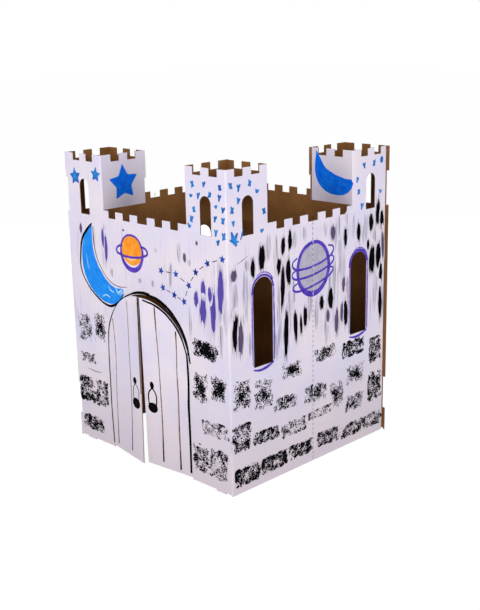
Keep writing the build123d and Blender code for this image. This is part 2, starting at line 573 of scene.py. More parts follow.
@dataclass(frozen=True)
class SpongePrint(Finish):
    """Black paint printed with a sponge: specks and blots, with the board between them.

    The print's UV map runs from 0 to 1 each way. Its "load" attribute says how much paint was on the
    sponge, and "rim" whether the paint lies at the rim (1) or in the middle (-1).
    """

    ink: str = "#08070a"
    speck: float = 4.3
    blot: float = 21.0

    def surface(self, node: Adder) -> Surface:
        """Builds the specks, denser where the sponge pressed hard and ragged at the print's edge.

        Args:
            node: adds a node to the material.

        Returns:
            The colour, the height, and the relief's depth in millimetres.
        """
        coords = node("TexCoord")
        place = coords.outputs["Object"]
        paper = node("Group", node_tree=BoardTones.group("white_liner"))
        load, rim = (node("Attribute", attribute_name=name).outputs["Fac"] for name in ("load", "rim"))
        fine, coarse = 1 / (self.speck * MM), 1 / (self.blot * MM)
        specks = node("TexNoise", {"Vector": place, "Scale": fine, "Detail": 1.5, "Roughness": 0.55})
        blots = node("TexNoise", {"Vector": place, "Scale": coarse, "Detail": 1.0})
        across, upward = off_middle(node, coords.outputs["UV"]).outputs[:2]
        out = node("Math", {0: across, 1: upward, 2: 0.2}, operation="SMOOTH_MAX")
        wander = node("Math", {0: blots, 1: -0.7, 2: out}, operation="MULTIPLY_ADD")
        edge = node("MapRange", {0: wander, 1: 0.46, 2: 0.70, 3: 0.0, 4: -0.34})
        pressed = node("Math", {0: blots, 1: 0.55, 2: -0.275}, operation="MULTIPLY_ADD")
        soaked = node("Math", {0: load, 1: 0.19, 2: pressed}, operation="MULTIPLY_ADD")
        lean = node("Math", {0: out, 1: 0.42, 2: -0.22}, operation="MULTIPLY_ADD")
        tilt = node("Math", {0: rim, 1: lean, 2: soaked}, operation="MULTIPLY_ADD")
        wet = node("Math", {0: tilt, 1: edge}, operation="ADD")
        total = node("Math", {0: specks, 1: wet}, operation="ADD")
        mask = node("MapRange", {0: total, 1: 0.540, 2: 0.580})
        colour = node("Mix", {0: mask, 6: paper.outputs[0], 7: linear(self.ink)}, data_type="RGBA")
        return colour, paper.outputs[1], LINER_RELIEF


WHITE_LINER = Liner("white_coated_liner", roughness=0.62, specular=0.2)
KRAFT_LINER = Liner("brown_kraft_liner", roughness=0.78, specular=0.15, tones="kraft_liner")
CUT_EDGE = CutEdge("die_cut_board_edge", roughness=0.85, specular=0.1)
BLACK = PosterPaint("black_poster_paint", 0.75, 0.02, "#040305", "#110e10", patchy=0.4)
GREY_LINE = PosterPaint("thinned_grey_poster_paint", 0.7, 0.08, "#5d5562", "#958c9a")
PLANK_BROWN = PosterPaint("thinned_brown_poster_paint", 0.7, 0.08, "#4b2f28", "#a07f6e", patchy=0.8)
SKY_BLUE = PosterPaint("sky_blue_poster_paint", 0.6, 0.1, "#0c80f0", "#2c9cf6", streak=9.0, patchy=0.3)
PALE_SKY = PosterPaint("pale_sky_poster_paint", 0.6, 0.12, "#7cc4f8", "#c4e4fc", streak=4.0)
DEEP_BLUE = PosterPaint("deep_blue_poster_paint", 0.6, 0.08, "#0060ee", "#0e86fa", streak=9.0, patchy=0.35)
MARK_BLUE = PosterPaint("thinned_blue_poster_paint", 0.6, 0.08, "#0c58ac", "#3390dc", patchy=0.7)
NIGHT_BLUE = PosterPaint("night_blue_poster_paint", 0.6, 0.1, "#0c2484", "#2a5cc0", patchy=0.7)
ORANGE = PosterPaint("orange_poster_paint", 0.6, 0.12, "#f78d12", "#fdb04c", streak=9.0, patchy=0.5)
VIOLET = PosterPaint("violet_poster_paint", 0.6, 0.1, "#3e229c", "#6c50cc", patchy=0.5)
PALE_VIOLET = PosterPaint("thinned_violet_poster_paint", 0.6, 0.1, "#6a55c0", "#ab9ce0", patchy=0.6)
PALE_SKIN = PosterPaint("pale_orange_poster_paint", 0.6, 0.12, "#fde0b4", "#fbd08e", streak=4.0)
PLANET_GREY = PosterPaint("grey_poster_paint", 0.6, 0.1, "#aaa3b8", "#c0bbca", streak=11.0)
# Painted shade: the dark inside of the slits along the window walls' creases
SLIT_SHADE = PosterPaint("perforation_slit_shade", 0.9, 0.05, "#0a0708", "#161012")
BLACK_DAB = BrushDab("black_brush_dab", 0.75, 0.02, ink="#050306")
PLUM_DAB = BrushDab("plum_brush_dab", 0.7, 0.08, ink="#3c2a55", cover=0.92)
VIOLET_DAB = BrushDab("violet_brush_dab", 0.7, 0.08, ink="#4a34a0", cover=0.95)
GREY_DAB = BrushDab("grey_brush_dab", 0.7, 0.08, ink="#5c5570", cover=0.14, drag=0.62)
SPONGE = SpongePrint("black_sponge_print", 0.75, 0.02)


class Face(Enum):
    """Sides of the board, in the order of a piece's material slots."""

    WHITE = 0
    KRAFT = 1
    CUT = 2
    BLACKENED = 3


class Dab(Enum):
    """Paints that dabs are pressed with, by the letter that the tables give them."""

    k = BLACK_DAB
    p = PLUM_DAB
    v = VIOLET_DAB
    g = GREY_DAB


class Mark(Enum):
    """Small brush marks, each as the directions of its arms in degrees."""

    CROSS = (62.0, 121.0, 242.0, 301.0)
    FORK = (58.0, 124.0, 265.0)
    TICK = (50.0, 118.0)


@dataclass
class BoardPiece:
    """A folded sheet or door leaf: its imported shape, with each side of the board given its own finish.

    Attributes:
        node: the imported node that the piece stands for.
        body: the body that it rides on.
        walls: its outer faces.
        leaf: the leaf's face where it is a door leaf that hangs a little twisted, else None.
    """

    # How nearly a face has to look a wall's way, across it, and how near it has to lie in millimetres
    LIKE: ClassVar[float] = 0.6
    ACROSS: ClassVar[float] = 0.3
    NEAR: ClassVar[float] = 2.5
    node: str
    body: str
    walls: list[Wall]
    leaf: Wall | None = None

    def build(self, frame: dict) -> bpy.types.Object:
        """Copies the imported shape, cleans it, and dresses its faces.


        Returns:
            The dressed piece.
        """
        piece = bpy.data.objects.new(self.node + "_board", frame["nodes"][self.node].data.copy())
        bpy.context.scene.collection.objects.link(piece)
        piece.data.materials.clear()
        for finish in (WHITE_LINER, KRAFT_LINER, CUT_EDGE, BLACK):
            piece.data.materials.append(finish.material())
        Bench.pick(piece)
        with Bench.shaping():
            bpy.ops.mesh.remove_doubles(threshold=0.01 * MM)
            bpy.ops.mesh.dissolve_limited(angle_limit=math.radians(0.5))
            if self.leaf is not None:
                self.cut_fields()
        self.dress(piece)
        if self.leaf is not None:
            hang_twisted(piece, self.leaf)
        Bench.pick(piece)
        bpy.ops.mesh.customdata_custom_splitnormals_clear()
        if self.leaf is None:
            bpy.ops.object.shade_smooth_by_angle(angle=math.radians(25))
        else:
            bpy.ops.object.shade_flat()
        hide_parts(self.node)
        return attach(piece, self.body)

    def cut_fields(self) -> None:
        """Cuts the leaf in edit mode into fields some 40 by 30 mm, which its slight twist keeps flat."""
        for up in range(30, 690, 30):
            bpy.ops.mesh.select_all(action="SELECT")
            bpy.ops.mesh.bisect(plane_co=(0, 0, up * MM), plane_no=(0, 0, 1))
        for along in range(38, LEAF_WIDTH, 39):
            bpy.ops.mesh.select_all(action="SELECT")
            bpy.ops.mesh.bisect(plane_co=self.leaf.place(along).translation, plane_no=self.leaf.right)

    def round_doorway(self, centre: Vector, normal: Vector) -> bool:
        """Whether a cut face lies round the front doorway's head, in the gap between leaf and wall, which is
        coloured black.

        Args:
            centre: the face's middle.
            normal: the face's direction.

        Returns:
            True if it does.
        """
        out = math.hypot(centre.x, centre.z - ARCH_SPRING * MM) / MM
        in_front = centre.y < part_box("front_sheet")[0].y + 30 * MM
        on_rim = DOORWAY_HEAD[0] < out < DOORWAY_HEAD[1] and centre.z > ARCH_SPRING * MM
        return in_front and on_rim and abs(normal.z) > 0.03

    def dress(self, piece: bpy.types.Object) -> None:
        """Gives each face its side of the board, and each cut face its place through the thickness.

        Args:
            piece: the copied shape.
        """
        mesh = piece.data
        while mesh.uv_layers:
            mesh.uv_layers.remove(mesh.uv_layers[0])
        uv = mesh.uv_layers.new(name="edge")
        for polygon in mesh.polygons:
            centre, normal = polygon.center, polygon.normal
            side, carrier = Face.CUT, self.walls[0]
            for wall in self.walls:
                depth = (wall.corner - centre).dot(wall.normal) / MM
                facing = normal.dot(wall.normal)
                if facing > self.LIKE and abs(depth) < self.NEAR:
                    side = Face.WHITE
                elif facing < -self.LIKE and abs(depth - BOARD) < self.NEAR:
                    side = Face.KRAFT
                if -0.5 < depth < BOARD + 0.5 and abs(facing) < self.ACROSS:
                    carrier = wall
            if side is Face.CUT and self.round_doorway(centre, normal):
                side = Face.BLACKENED
            polygon.material_index = side.value
            for loop in polygon.loop_indices:
                point = mesh.vertices[mesh.loops[loop].vertex_index].co
                offset = point - carrier.corner
                run = offset.dot(carrier.right) if abs(normal.z) > 0.5 else point.z
                through = -offset.dot(carrier.normal) / MM / BOARD
                uv.data[loop].uv = (run / MM, min(1.0, max(0.0, through)))


def hang_twisted(piece: bpy.types.Object, leaf: Wall) -> None:
    """Turns each level of a leaf about its hinge, a little more at the foot than at the top.

    Args:
        piece: a piece on the leaf, in its place on the flat leaf.
        leaf: the leaf's face.
    """
    middle, reach = 0.350, 0.340
    width = LEAF_WIDTH * MM if leaf.hinge_side > 0 else 0.0
    hinge = leaf.corner + leaf.right * width
    for vertex in piece.data.vertices:
        turn = leaf.hinge_side * leaf.twist / 2 * (middle - vertex.co.z) / reach
        vertex.co = hinge + Matrix.Rotation(math.radians(turn), 3, "Z") @ (vertex.co - hinge)


class Painter:
    """Paints one wall, and hands over what it painted as pieces.

    Each layer of paint is a thin skin, a little higher than the one laid before it.
    """

    FIRST_LIFT = 0.10
    LIFT_STEP = 0.004
    UNDERSIDE = 0.02
    MARK_ARM = 12.5
    # The share of a dab's round that its solid core fills
    CORE_SHARE = 0.54

    def __init__(self, wall: Wall, seed: int) -> None:
        """Starts on a bare wall.

        Args:
            wall: the face to paint.
            seed: the start of this wall's random draws.
        """
        self.wall = wall
        self.draw = random.Random(seed)
        self.skins: dict[str, list[bpy.types.Object]] = {}
        self.layer = 0

    def keep(self, item: bpy.types.Object, group: str, finish: Finish, place: Matrix | None = None) -> None:
        """Thickens a flat item into a skin of paint and puts it on the wall.

        Args:
            item: the flat item, in its own plane.
            group: the piece that it will be part of.
            finish: its paint.
            place: its place on the wall, or None for an item drawn in the wall's own millimetres.
        """
        lift = self.FIRST_LIFT + self.layer * self.LIFT_STEP
        self.layer += 1
        if item.data.polygons[0].normal.z < 0:
            item.data.flip_normals()
        item.data.materials.clear()
        item.data.materials.append(finish.material())
        Bench.finish_with(item, "SOLIDIFY", thickness=(lift - self.UNDERSIDE) * MM, offset=1.0)
        off = Matrix.Translation((0, 0, self.UNDERSIDE * MM))
        Bench.settle(item, (self.wall.place() if place is None else place) @ off)
        self.skins.setdefault(group, []).append(item)

    def stroke(self, group: str, finish: Finish, path: Path, rough: float = 0.5) -> None:
        """Pulls a brush along a path.

        Args:
            group: the piece that the stroke will be part of.
            finish: its paint.
            path: for each place on the way, along, up and the stroke's width.
            rough: how far the stroke's edge wanders, in millimetres.
        """
        widest = max(width for _, _, width in path)
        bpy.ops.curve.primitive_bezier_curve_add(location=(0, 0, 0))
        guide = bpy.context.object
        guide.data.dimensions = "2D"
        guide.data.use_stretch = True
        guide.data.use_deform_bounds = True
        line = guide.data.splines[0]
        line.bezier_points.add(len(path) - 2)
        for knot, (along, up, width) in zip(line.bezier_points, path):
            knot.co = (along * MM, up * MM, 0)
            knot.handle_left_type = knot.handle_right_type = "AUTO"
            knot.radius = width / widest
        bpy.context.view_layer.update()
        length = line.calc_length() / MM
        cell = max(3.0, widest * 0.2)
        cells = max(4, min(120, int(length / cell)))
        bpy.ops.mesh.primitive_grid_add(x_subdivisions=cells, y_subdivisions=2, size=1, calc_uvs=True)
        strip = bpy.context.object
        Bench.size(strip, length, widest)
        # Each stroke begins somewhere else in the streaks
        start = self.layer * 37.0
        for corner in strip.data.uv_layers[0].data:
            corner.uv = (corner.uv[0] * length + start, corner.uv[1] * widest)
        Bench.finish_with(strip, "CURVE", object=guide, deform_axis="POS_X")
        bpy.data.objects.remove(guide)
        with Bench.shaping():
            bpy.ops.transform.vertex_random(offset=rough * MM, seed=self.draw.randrange(9999))
            bpy.ops.transform.resize(value=(1, 1, 0))
        for vertex in strip.data.vertices:
            vertex.co.z = 0.0
        self.keep(strip, group, finish)

    def blob(
        self,
        group: str,
        finish: Finish,
        along: float,
        up: float,
        width: float,
        height: float,
        turn: float = 0.0,
    ) -> None:
        """Presses a round of paint on the wall.

        Args:
            group: the piece that the round will be part of.
            finish: its paint.
            along: its middle.
            up: its middle.
            width: its width.
            height: its height.
            turn: its turn in degrees.
        """
        bpy.ops.mesh.primitive_circle_add(vertices=32, radius=0.5, fill_type="NGON", calc_uvs=True)
        item = bpy.context.object
        with Bench.shaping():
            bpy.ops.mesh.inset(thickness=0.12)
            bpy.ops.transform.resize(value=(1.04, 1.04, 1))
        Bench.size(item, width, height)
        self.keep(item, group, finish, self.wall.place(along, up, 0.0, turn))

    def stones(self, group: str, places: tuple | list) -> None:
        """Prints building stones with the sponge.

        Args:
            group: the piece that the stones form.
            places: for each stone, along, up, width, height, the sponge's load of paint from 0 to 1, and
                its rim: 1 for paint at the print's rim, -1 for paint in its middle.
        """
        for along, up, width, height, load, rim in places:
            bpy.ops.mesh.primitive_plane_add(size=1, calc_uvs=True)
            item = bpy.context.object
            with Bench.shaping():
                bpy.ops.mesh.bevel(offset=0.16, segments=4, affect="VERTICES")
            # The print's ragged edge stays within the skin, so the skin is larger than the stone
            Bench.size(item, width * 1.12 + 2, height * 1.14 + 12)
            for name, level in (("load", load), ("rim", rim)):
                for value in item.data.attributes.new(name, "FLOAT", "POINT").data:
                    value.value = level
            self.keep(item, group, SPONGE, self.wall.place(along, up, 0.0, self.draw.uniform(-3, 3)))

    def dabs(self, prefix: str, places: tuple | list) -> None:
        """Presses upright brush dabs on the wall.

        Args:
            prefix: the start of the pieces' names.
            places: for each dab, along, up, width, height and the letter of its paint.
        """
        # The faint grey ones lie under the others
        for along, up, width, height, letter in sorted(places, key=lambda place: place[4] != "g"):
            ink = Dab[letter].value
            size = (width / self.CORE_SHARE, height / self.CORE_SHARE)
            self.blob(f"{prefix}_{ink.name}s", ink, along, up, *size, self.draw.uniform(-3, 3))

    def marks(self, group: str, places: tuple | list) -> None:
        """Dots the wall with small blue crosses, forks and ticks, each arm a touch of the brush.

        Args:
            group: the piece that the marks form.
            places: for each mark, along and up.
        """
        kinds = (Mark.CROSS, Mark.FORK, Mark.CROSS, Mark.TICK, Mark.FORK)
        for number, (along, up) in enumerate(places):
            lean = self.draw.uniform(-16, 16)
            for way in kinds[number % len(kinds)].value:
                angle = math.radians(way + lean)
                reach = self.MARK_ARM * self.draw.uniform(0.75, 1.25)
                touch = ((-2.0, 8.5), (reach / 2 - 1, 10.0), (reach, 5.0))
                path = [(along + far * math.cos(angle), up + far * math.sin(angle), w) for far, w in touch]
                self.stroke(group, MARK_BLUE, path, rough=0.4)

    def star(
        self,
        group: str,
        finish: Finish,
        along: float,
        up: float,
        radius: float,
        notch: float,
        turn: float,
    ) -> None:
        """Paints a plain five-pointed star with soft points.

        Args:
            group: the piece that the star will be part of.
            finish: its paint.
            along: its middle.
            up: its middle.
            radius: its reach from middle to point.
            notch: its inner corners' reach, as a share of the radius.
            turn: its turn in degrees.
        """
        bpy.ops.mesh.primitive_circle_add(vertices=10, radius=1, fill_type="NGON", calc_uvs=True)
        item = bpy.context.object
        with Bench.shaping():
            bpy.ops.mesh.select_all(action="DESELECT")
        for vertex in item.data.vertices:
            vertex.select = vertex.index % 2 == 1
        bpy.ops.object.mode_set(mode="EDIT")
        bpy.ops.transform.resize(value=(notch, notch, 1))
        bpy.ops.mesh.select_all(action="SELECT")
        bpy.ops.mesh.bevel(offset=0.07, segments=3, affect="VERTICES")
        bpy.ops.object.mode_set(mode="OBJECT")
        Bench.size(item, radius, radius)
        for corner in item.data.uv_layers[0].data:
            corner.uv = (corner.uv[0] * radius * 2, corner.uv[1] * radius * 2)
        self.keep(item, group, finish, self.wall.place(along, up, 0.0, turn))

    def hand_over(self) -> list[bpy.types.Object]:
        """Joins the skins into pieces that ride with the wall.

        Returns:
            The pieces.
        """
        pieces = []
        for group, skins in self.skins.items():
            piece = Bench.join(group, skins)
            if self.wall.hinge_side:
                hang_twisted(piece, self.wall)
            pieces.append(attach(piece, self.wall.body))
        return pieces


def ellipse(
    along: float, up: float, reach: tuple[float, float], tilt: float, start: float, end: float, width: float
) -> list[Knot]:
    """Path of a round or tilted ring, or part of one.

    Args:
        along: its middle.
        up: its middle.
        reach: its half-width and half-height.
        tilt: its tilt in degrees.
        start: the angle where the path starts, in degrees anticlockwise from the right.
        end: the angle where it ends.
        width: the stroke's width.

    Returns:
        The knots of the path.
    """
    knots = []
    lean = math.radians(tilt)
    steps = max(4, int(abs(end - start) / 30))
    for step in range(steps + 1):
        angle = math.radians(start + (end - start) * step / steps)
        x, y = reach[0] * math.cos(angle), reach[1] * math.sin(angle)
        over = along + x * math.cos(lean) - y * math.sin(lean)
        knots.append((over, up + x * math.sin(lean) + y * math.cos(lean), width))
    return knots


@dataclass
class CastlePainter:
    """Everything painted on the castle, wall by wall."""

    castle: "Castle"
    arch_middle: float = WALL_MIDDLE

    def arc(self, radius: float, start: float, end: float, width: float, ends: float = 0.6) -> list[Knot]:
        """Path round the doorway's head, thinner at both ends.

        Args:
            radius: the path's distance from the arch's centre.
            start: the angle where it starts, in degrees anticlockwise from the right.
            end: the angle where it ends.
            width: the stroke's width.
            ends: the width at the ends, as a share of it.

        Returns:
            The knots of the path.
        """
        knots = ellipse(self.arch_middle, ARCH_SPRING, (radius, radius), 0.0, start, end, width)
        knots[0] = (*knots[0][:2], width * ends)
        knots[-1] = (*knots[-1][:2], width * ends)
        return knots

    def front_door_wall(self) -> list[bpy.types.Object]:
        """Paints the front doorway's wall, with its crescent moon, ringed planet and stars.

        Returns:
            The painted pieces.
        """
        painter = Painter(self.castle.door_wall, 11)
        painter.stones("front_stones", (
            (58, 490, 84, 100, 0.30, -0.4), (154, 503, 74, 98, 0.45, -0.8), (65, 358, 88, 30, 0.25, 0.0),
            (47, 217, 92, 90, 0.65, 0.5), (145, 219, 80, 94, 0.45, 0.0), (76, 73, 125, 50, 0.85, -0.3),
            (777, 539, 130, 56, 0.95, -0.9), (744, 389, 78, 102, 0.55, -0.9), (839, 402, 76, 84, 0.75, -0.9),
            (818, 240, 130, 44, 0.35, 0.3), (736, 105, 78, 94, 0.38, 0.4), (829, 107, 88, 98, 0.32, 0.5),
        ))
        painter.dabs("front", (
            (862, 771, 24, 135, "v"), (774, 761, 20, 58, "v"), (770, 683, 28, 76, "v"),
            (735, 724, 18, 48, "v"), (822, 697, 22, 130, "v"), (808, 752, 16, 46, "v"),
            (224, 842, 15, 84, "v"), (206, 878, 13, 56, "v"), (216, 850, 26, 110, "g"),
            (66, 901, 14, 28, "p"), (252, 747, 12, 22, "g"), (680, 868, 13, 26, "p"),
            (704, 852, 12, 18, "g"), (336, 926, 8, 7, "k"), (522, 873, 10, 12, "g"), (747, 930, 9, 14, "p"),
            (499, 742, 12, 18, "g"), (420, 742, 14, 12, "g"), (885, 690, 14, 90, "g"),
            (700, 620, 10, 80, "g"), (600, 790, 14, 60, "g"), (860, 590, 12, 90, "g"),
            (650, 880, 12, 50, "g"), (150, 880, 12, 60, "g"),
        ))
        painter.stroke("front_moon", SKY_BLUE, (
            (139, 922, 3), (114, 872, 50), (106, 807, 80), (119, 748, 102), (150, 703, 106), (196, 670, 96),
            (254, 657, 74), (298, 673, 38), (318, 689, 10),
        ))
        for path in (
            ((226, 690, 3), (238, 676, 7), (262, 668, 3)), ((270, 690, 3), (280, 676, 6), (292, 664, 3)),
            ((186, 640, 3), (206, 650, 6), (236, 644, 3)), ((96, 800, 2), (98, 770, 5), (108, 740, 2)),
            ((284, 666, 4), (300, 680, 9), (316, 690, 4)), ((296, 662, 2), (309, 675, 6), (322, 684, 2)),
        ):
            painter.stroke("front_moon", PALE_SKY, path)
        painter.stroke("front_moon_outline", BLACK, (
            (140, 930, 7), (104, 898, 12), (74, 862, 11), (57, 800, 9), (55, 735, 7), (88, 680, 6),
            (148, 634, 7), (212, 609, 9), (244, 611, 11), (290, 638, 6), (322, 672, 3),
        ))
        inner = (
            (146, 918, 3), (148, 868, 4), (157, 808, 3.5), (190, 752, 3), (236, 712, 3), (285, 697, 3),
            (340, 702, 2),
        )
        painter.stroke("front_moon_outline", BLACK, inner, rough=0.3)
        self.orange_planet(painter)
        self.joined_stars(painter)
        painter.stroke("front_door_outline", BLACK, [
            (212, 22, 6), (206, 160, 6), (206, 270, 6), (206, 378, 6), (208, 452, 5),
            *self.arc(243, 168, 112, 6, ends=1.0), *self.arc(244, 102, 84, 12, ends=0.9),
        ])
        painter.stroke("front_door_outline", BLACK, self.arc(243, 92, 4, 12, ends=0.6))
        painter.stroke("front_thin_lines", GREY_LINE, ((62, 312, 2), (104, 308, 4), (152, 311, 2)))
        self.tower_marks(painter)
        return painter.hand_over()

    def tower_marks(self, painter: Painter) -> None:
        """Dots the near tower's front face with blue marks, and paints the left tower's two stars.

        Args:
            painter: who paints the front doorway's wall.
        """
        painter.marks("front_tower_marks", (
            (734, 1139), (791, 1141), (871, 1138), (723, 1094), (762, 1100), (821, 1109), (868, 1102),
            (738, 1049), (850, 1067), (884, 1060), (724, 1013), (844, 1027), (883, 1023), (711, 984),
            (847, 978), (886, 970), (856, 944),
        ))
        painter.star("front_tower_stars", MARK_BLUE, 50, 1108, 36, 0.52, 6)
        painter.star("front_tower_stars", MARK_BLUE, 182, 1125, 31, 0.50, -6)

    def orange_planet(self, painter: Painter) -> None:
        """Paints the orange planet with its violet outline and ring.

        Args:
            painter: who paints the front doorway's wall.
        """
        along, up = 381, 850
        painter.blob("front_planet", ORANGE, along + 2, up + 3, 124, 116)
        painter.stroke("front_planet", PALE_SKIN, ((336, 826, 3), (374, 817, 6), (424, 831, 4)))
        rim = ellipse(along, up - 2, (64, 65), 0, 90, 450, 8)
        widths = (8, 8, 8, 10, 15, 19, 20, 19, 14, 11, 9, 8, 8)
        rim = [(x, y - (width - 8) / 2, width) for (x, y, _), width in zip(rim, widths, strict=True)]
        painter.stroke("front_planet_outline", VIOLET, rim)
        painter.stroke("front_planet_outline", VIOLET, ellipse(along, up + 1, (93, 25), 4, 126, 414, 9.5))

    def joined_stars(self, painter: Painter) -> None:
        """Paints nine small stars, joined by short dashes.

        Args:
            painter: who paints the front doorway's wall.
        """
        upper = ((548, 800), (630, 800), (698, 768), (737, 823), (799, 864), (875, 890))
        lower = ((555, 737), (617, 719), (670, 703), (698, 768))
        for number, (along, up) in enumerate(upper + lower[:3]):
            painter.star("front_joined_stars", NIGHT_BLUE, along, up, 16, 0.46, 23 * number % 50 - 20)
        for row in (upper, lower):
            for (x, y), (far_x, far_y) in zip(row, row[1:]):
                path = [(x + (far_x - x) * t, y + (far_y - y) * t, 3.0) for t in (0.34, 0.50, 0.66)]
                painter.stroke("front_thin_lines", BLACK, path, rough=0.3)

    def front_window_wall(self) -> list[bpy.types.Object]:
        """Paints the near window wall, with its grey ringed planet, dabs and stones.

        Returns:
            The painted pieces, and the crease's slits in painted shade.
        """
        painter = Painter(self.castle.window_wall, 23)
        painter.stones("right_stones", (
            (521, 429, 118, 42, 0.55, -0.5), (695, 410, 124, 54, 0.85, 0.2), (839, 370, 72, 86, 0.65, 0.0),
            (328, 410, 116, 54, 0.45, -0.9), (710, 297, 110, 64, 0.50, -0.9), (61, 381, 84, 92, 0.50, -0.7),
            (173, 356, 90, 100, 0.35, -0.6), (293, 288, 120, 42, 0.45, -0.4),
            (464, 279, 128, 60, 0.50, -0.6), (594, 239, 82, 92, 0.40, -0.9), (705, 177, 114, 58, 0.45, -0.6),
            (841, 211, 84, 104, 0.70, 0.0), (53, 217, 92, 86, 0.60, 0.4), (181, 188, 134, 38, 0.60, 0.2),
            (338, 174, 132, 44, 0.35, 0.2), (488, 192, 130, 24, 0.30, 0.3), (82, 63, 122, 56, 0.85, 0.6),
            (227, 67, 130, 50, 0.90, 0.5), (378, 71, 130, 44, 0.95, 0.3), (543, 74, 128, 48, 0.70, 0.0),
            (693, 62, 128, 44, 0.60, 0.0), (826, 64, 118, 46, 0.40, 0.4),
        ))
        painter.dabs("right", (
            (29, 828, 24, 34, "p"), (95, 854, 14, 26, "g"), (124, 838, 17, 58, "k"), (172, 868, 26, 74, "k"),
            (284, 893, 18, 54, "k"), (321, 908, 18, 58, "k"), (349, 908, 16, 40, "g"),
            (401, 923, 12, 30, "g"), (263, 822, 24, 46, "k"), (311, 794, 22, 80, "k"),
            (280, 738, 18, 124, "k"), (290, 690, 14, 70, "g"), (566, 902, 22, 48, "p"),
            (648, 943, 12, 30, "g"), (642, 869, 17, 60, "k"), (723, 880, 20, 64, "k"),
            (802, 905, 22, 60, "k"), (846, 938, 24, 90, "k"), (872, 905, 20, 70, "k"),
            (811, 752, 32, 92, "k"), (852, 762, 26, 96, "k"), (869, 686, 18, 72, "k"),
            (868, 562, 20, 112, "k"), (784, 818, 14, 34, "k"), (759, 866, 16, 50, "g"),
            (824, 850, 16, 60, "g"), (880, 800, 14, 100, "p"), (553, 642, 26, 74, "k"),
            (500, 637, 20, 46, "k"), (406, 602, 18, 66, "k"), (381, 576, 12, 62, "k"),
            (538, 577, 16, 42, "p"), (591, 545, 18, 92, "p"), (645, 566, 22, 96, "k"),
            (622, 574, 14, 70, "p"), (632, 684, 16, 48, "p"), (637, 640, 14, 40, "g"),
            (31, 618, 24, 106, "k"), (58, 594, 20, 98, "p"), (78, 664, 12, 34, "g"), (22, 690, 14, 50, "g"),
            (297, 560, 20, 148, "k"), (350, 580, 18, 100, "k"), (32, 740, 18, 110, "g"),
            (84, 740, 16, 120, "g"), (262, 640, 18, 150, "g"), (318, 640, 18, 110, "g"),
            (430, 660, 18, 110, "g"), (470, 600, 14, 90, "g"), (530, 540, 18, 100, "g"),
            (575, 700, 16, 110, "g"), (610, 830, 16, 90, "g"), (690, 905, 14, 60, "g"),
            (834, 640, 18, 130, "g"), (106, 560, 10, 60, "g"), (205, 900, 18, 60, "g"),
            (245, 870, 16, 90, "g"), (520, 920, 14, 40, "g"), (600, 920, 14, 60, "g"),
            (770, 888, 20, 70, "g"), (240, 520, 14, 70, "g"), (340, 700, 14, 80, "g"),
            (654, 640, 12, 80, "g"),
        ))
        painter.stroke("right_thin_lines", GREY_LINE, ((48, 868, 1.5), (74, 877, 2.4), (100, 888, 1.5)))
        self.grey_planet(painter)
        self.window_frames(painter, "right_window_outlines")
        painter.marks("right_tower_marks", (
            (23, 1143), (61, 1133), (116, 1142), (150, 1106), (59, 1087), (28, 1059), (33, 1013),
            (186, 1036), (172, 963), (755, 1135), (816, 1139), (713, 1086), (722, 1038), (858, 1018),
            (742, 977),
        ))
        for path in (
            ((22, 985, 7), (30, 962, 18), (46, 932, 10)), ((52, 978, 6), (40, 958, 16), (34, 938, 9)),
            ((14, 958, 6), (32, 950, 14), (58, 946, 6)), ((78, 985, 4), (74, 968, 8), (66, 950, 4)),
        ):
            painter.stroke("right_tower_marks", MARK_BLUE, path)
        painter.blob("right_tower_marks", MARK_BLUE, 864, 1148, 20, 26)
        self.split_at_crease(painter)
        return [*painter.hand_over(), self.perforation(painter.wall, "right_crease_slit_shade")]

    def grey_planet(self, painter: Painter) -> None:
        """Paints the grey planet with its violet outline and three tilted rings.

        Args:
            painter: who paints the near window wall.
        """
        along, up = 452, 783
        painter.blob("right_planet", PLANET_GREY, along, up, 176, 200)
        rim = ellipse(along, up, (89, 100), 0, 100, 460, 13)
        widths = (14, 15, 15, 15, 17, 22, 22, 18, 16, 17, 16, 14, 14)
        rim = [(x, y, width) for (x, y, _), width in zip(rim, widths, strict=True)]
        painter.stroke("right_planet_outline", VIOLET, rim)
        for rise, half, drop, tilt in ((41, 120, 34, 7), (2, 122, 28, 7.5), (-44, 118, 24, 10)):
            path = ellipse(along, up + rise, (half, drop), tilt, 138, 402, 9)
            path = [(x, y, 6.5 if i < 2 or i > len(path) - 3 else 9) for i, (x, y, _) in enumerate(path)]
            painter.stroke("right_planet_outline", VIOLET, path)

    def window_frames(self, painter: Painter, group: str) -> None:
        """Outlines a window wall's two windows in violet.

        Args:
            painter: who paints the wall.
            group: the piece that the outlines form.
        """
        for middle, bold in zip(WINDOW_MIDDLES, (0.9, 1.3)):
            left, right = middle - 56, middle + 56
            for path in (
                ((left, 476, 5), (left - 1, 600, 8), (left, 700, 8), (left + 1, 752, 8)),
                ((right, 752, 7), (right + 1, 640, 8), (right, 480, 7)),
            ):
                painter.stroke(group, PALE_VIOLET, path)
            painter.stroke(group, VIOLET, ellipse(middle, 748, (57, 58), 0, 184, 6, 9 * bold))
            painter.stroke(group, PALE_VIOLET, ellipse(middle, 750, (62, 66), 0, 120, 30, 5))
            sill = ((left + 1, 459, 5), (middle - 20, 452, 10), (middle + 22, 457, 11), (right - 1, 469, 6))
            painter.stroke(group, VIOLET, sill)
            painter.stroke(group, VIOLET, ((right + 2, 700, 3), (right + 3, 600, 5), (right + 1, 474, 4)))

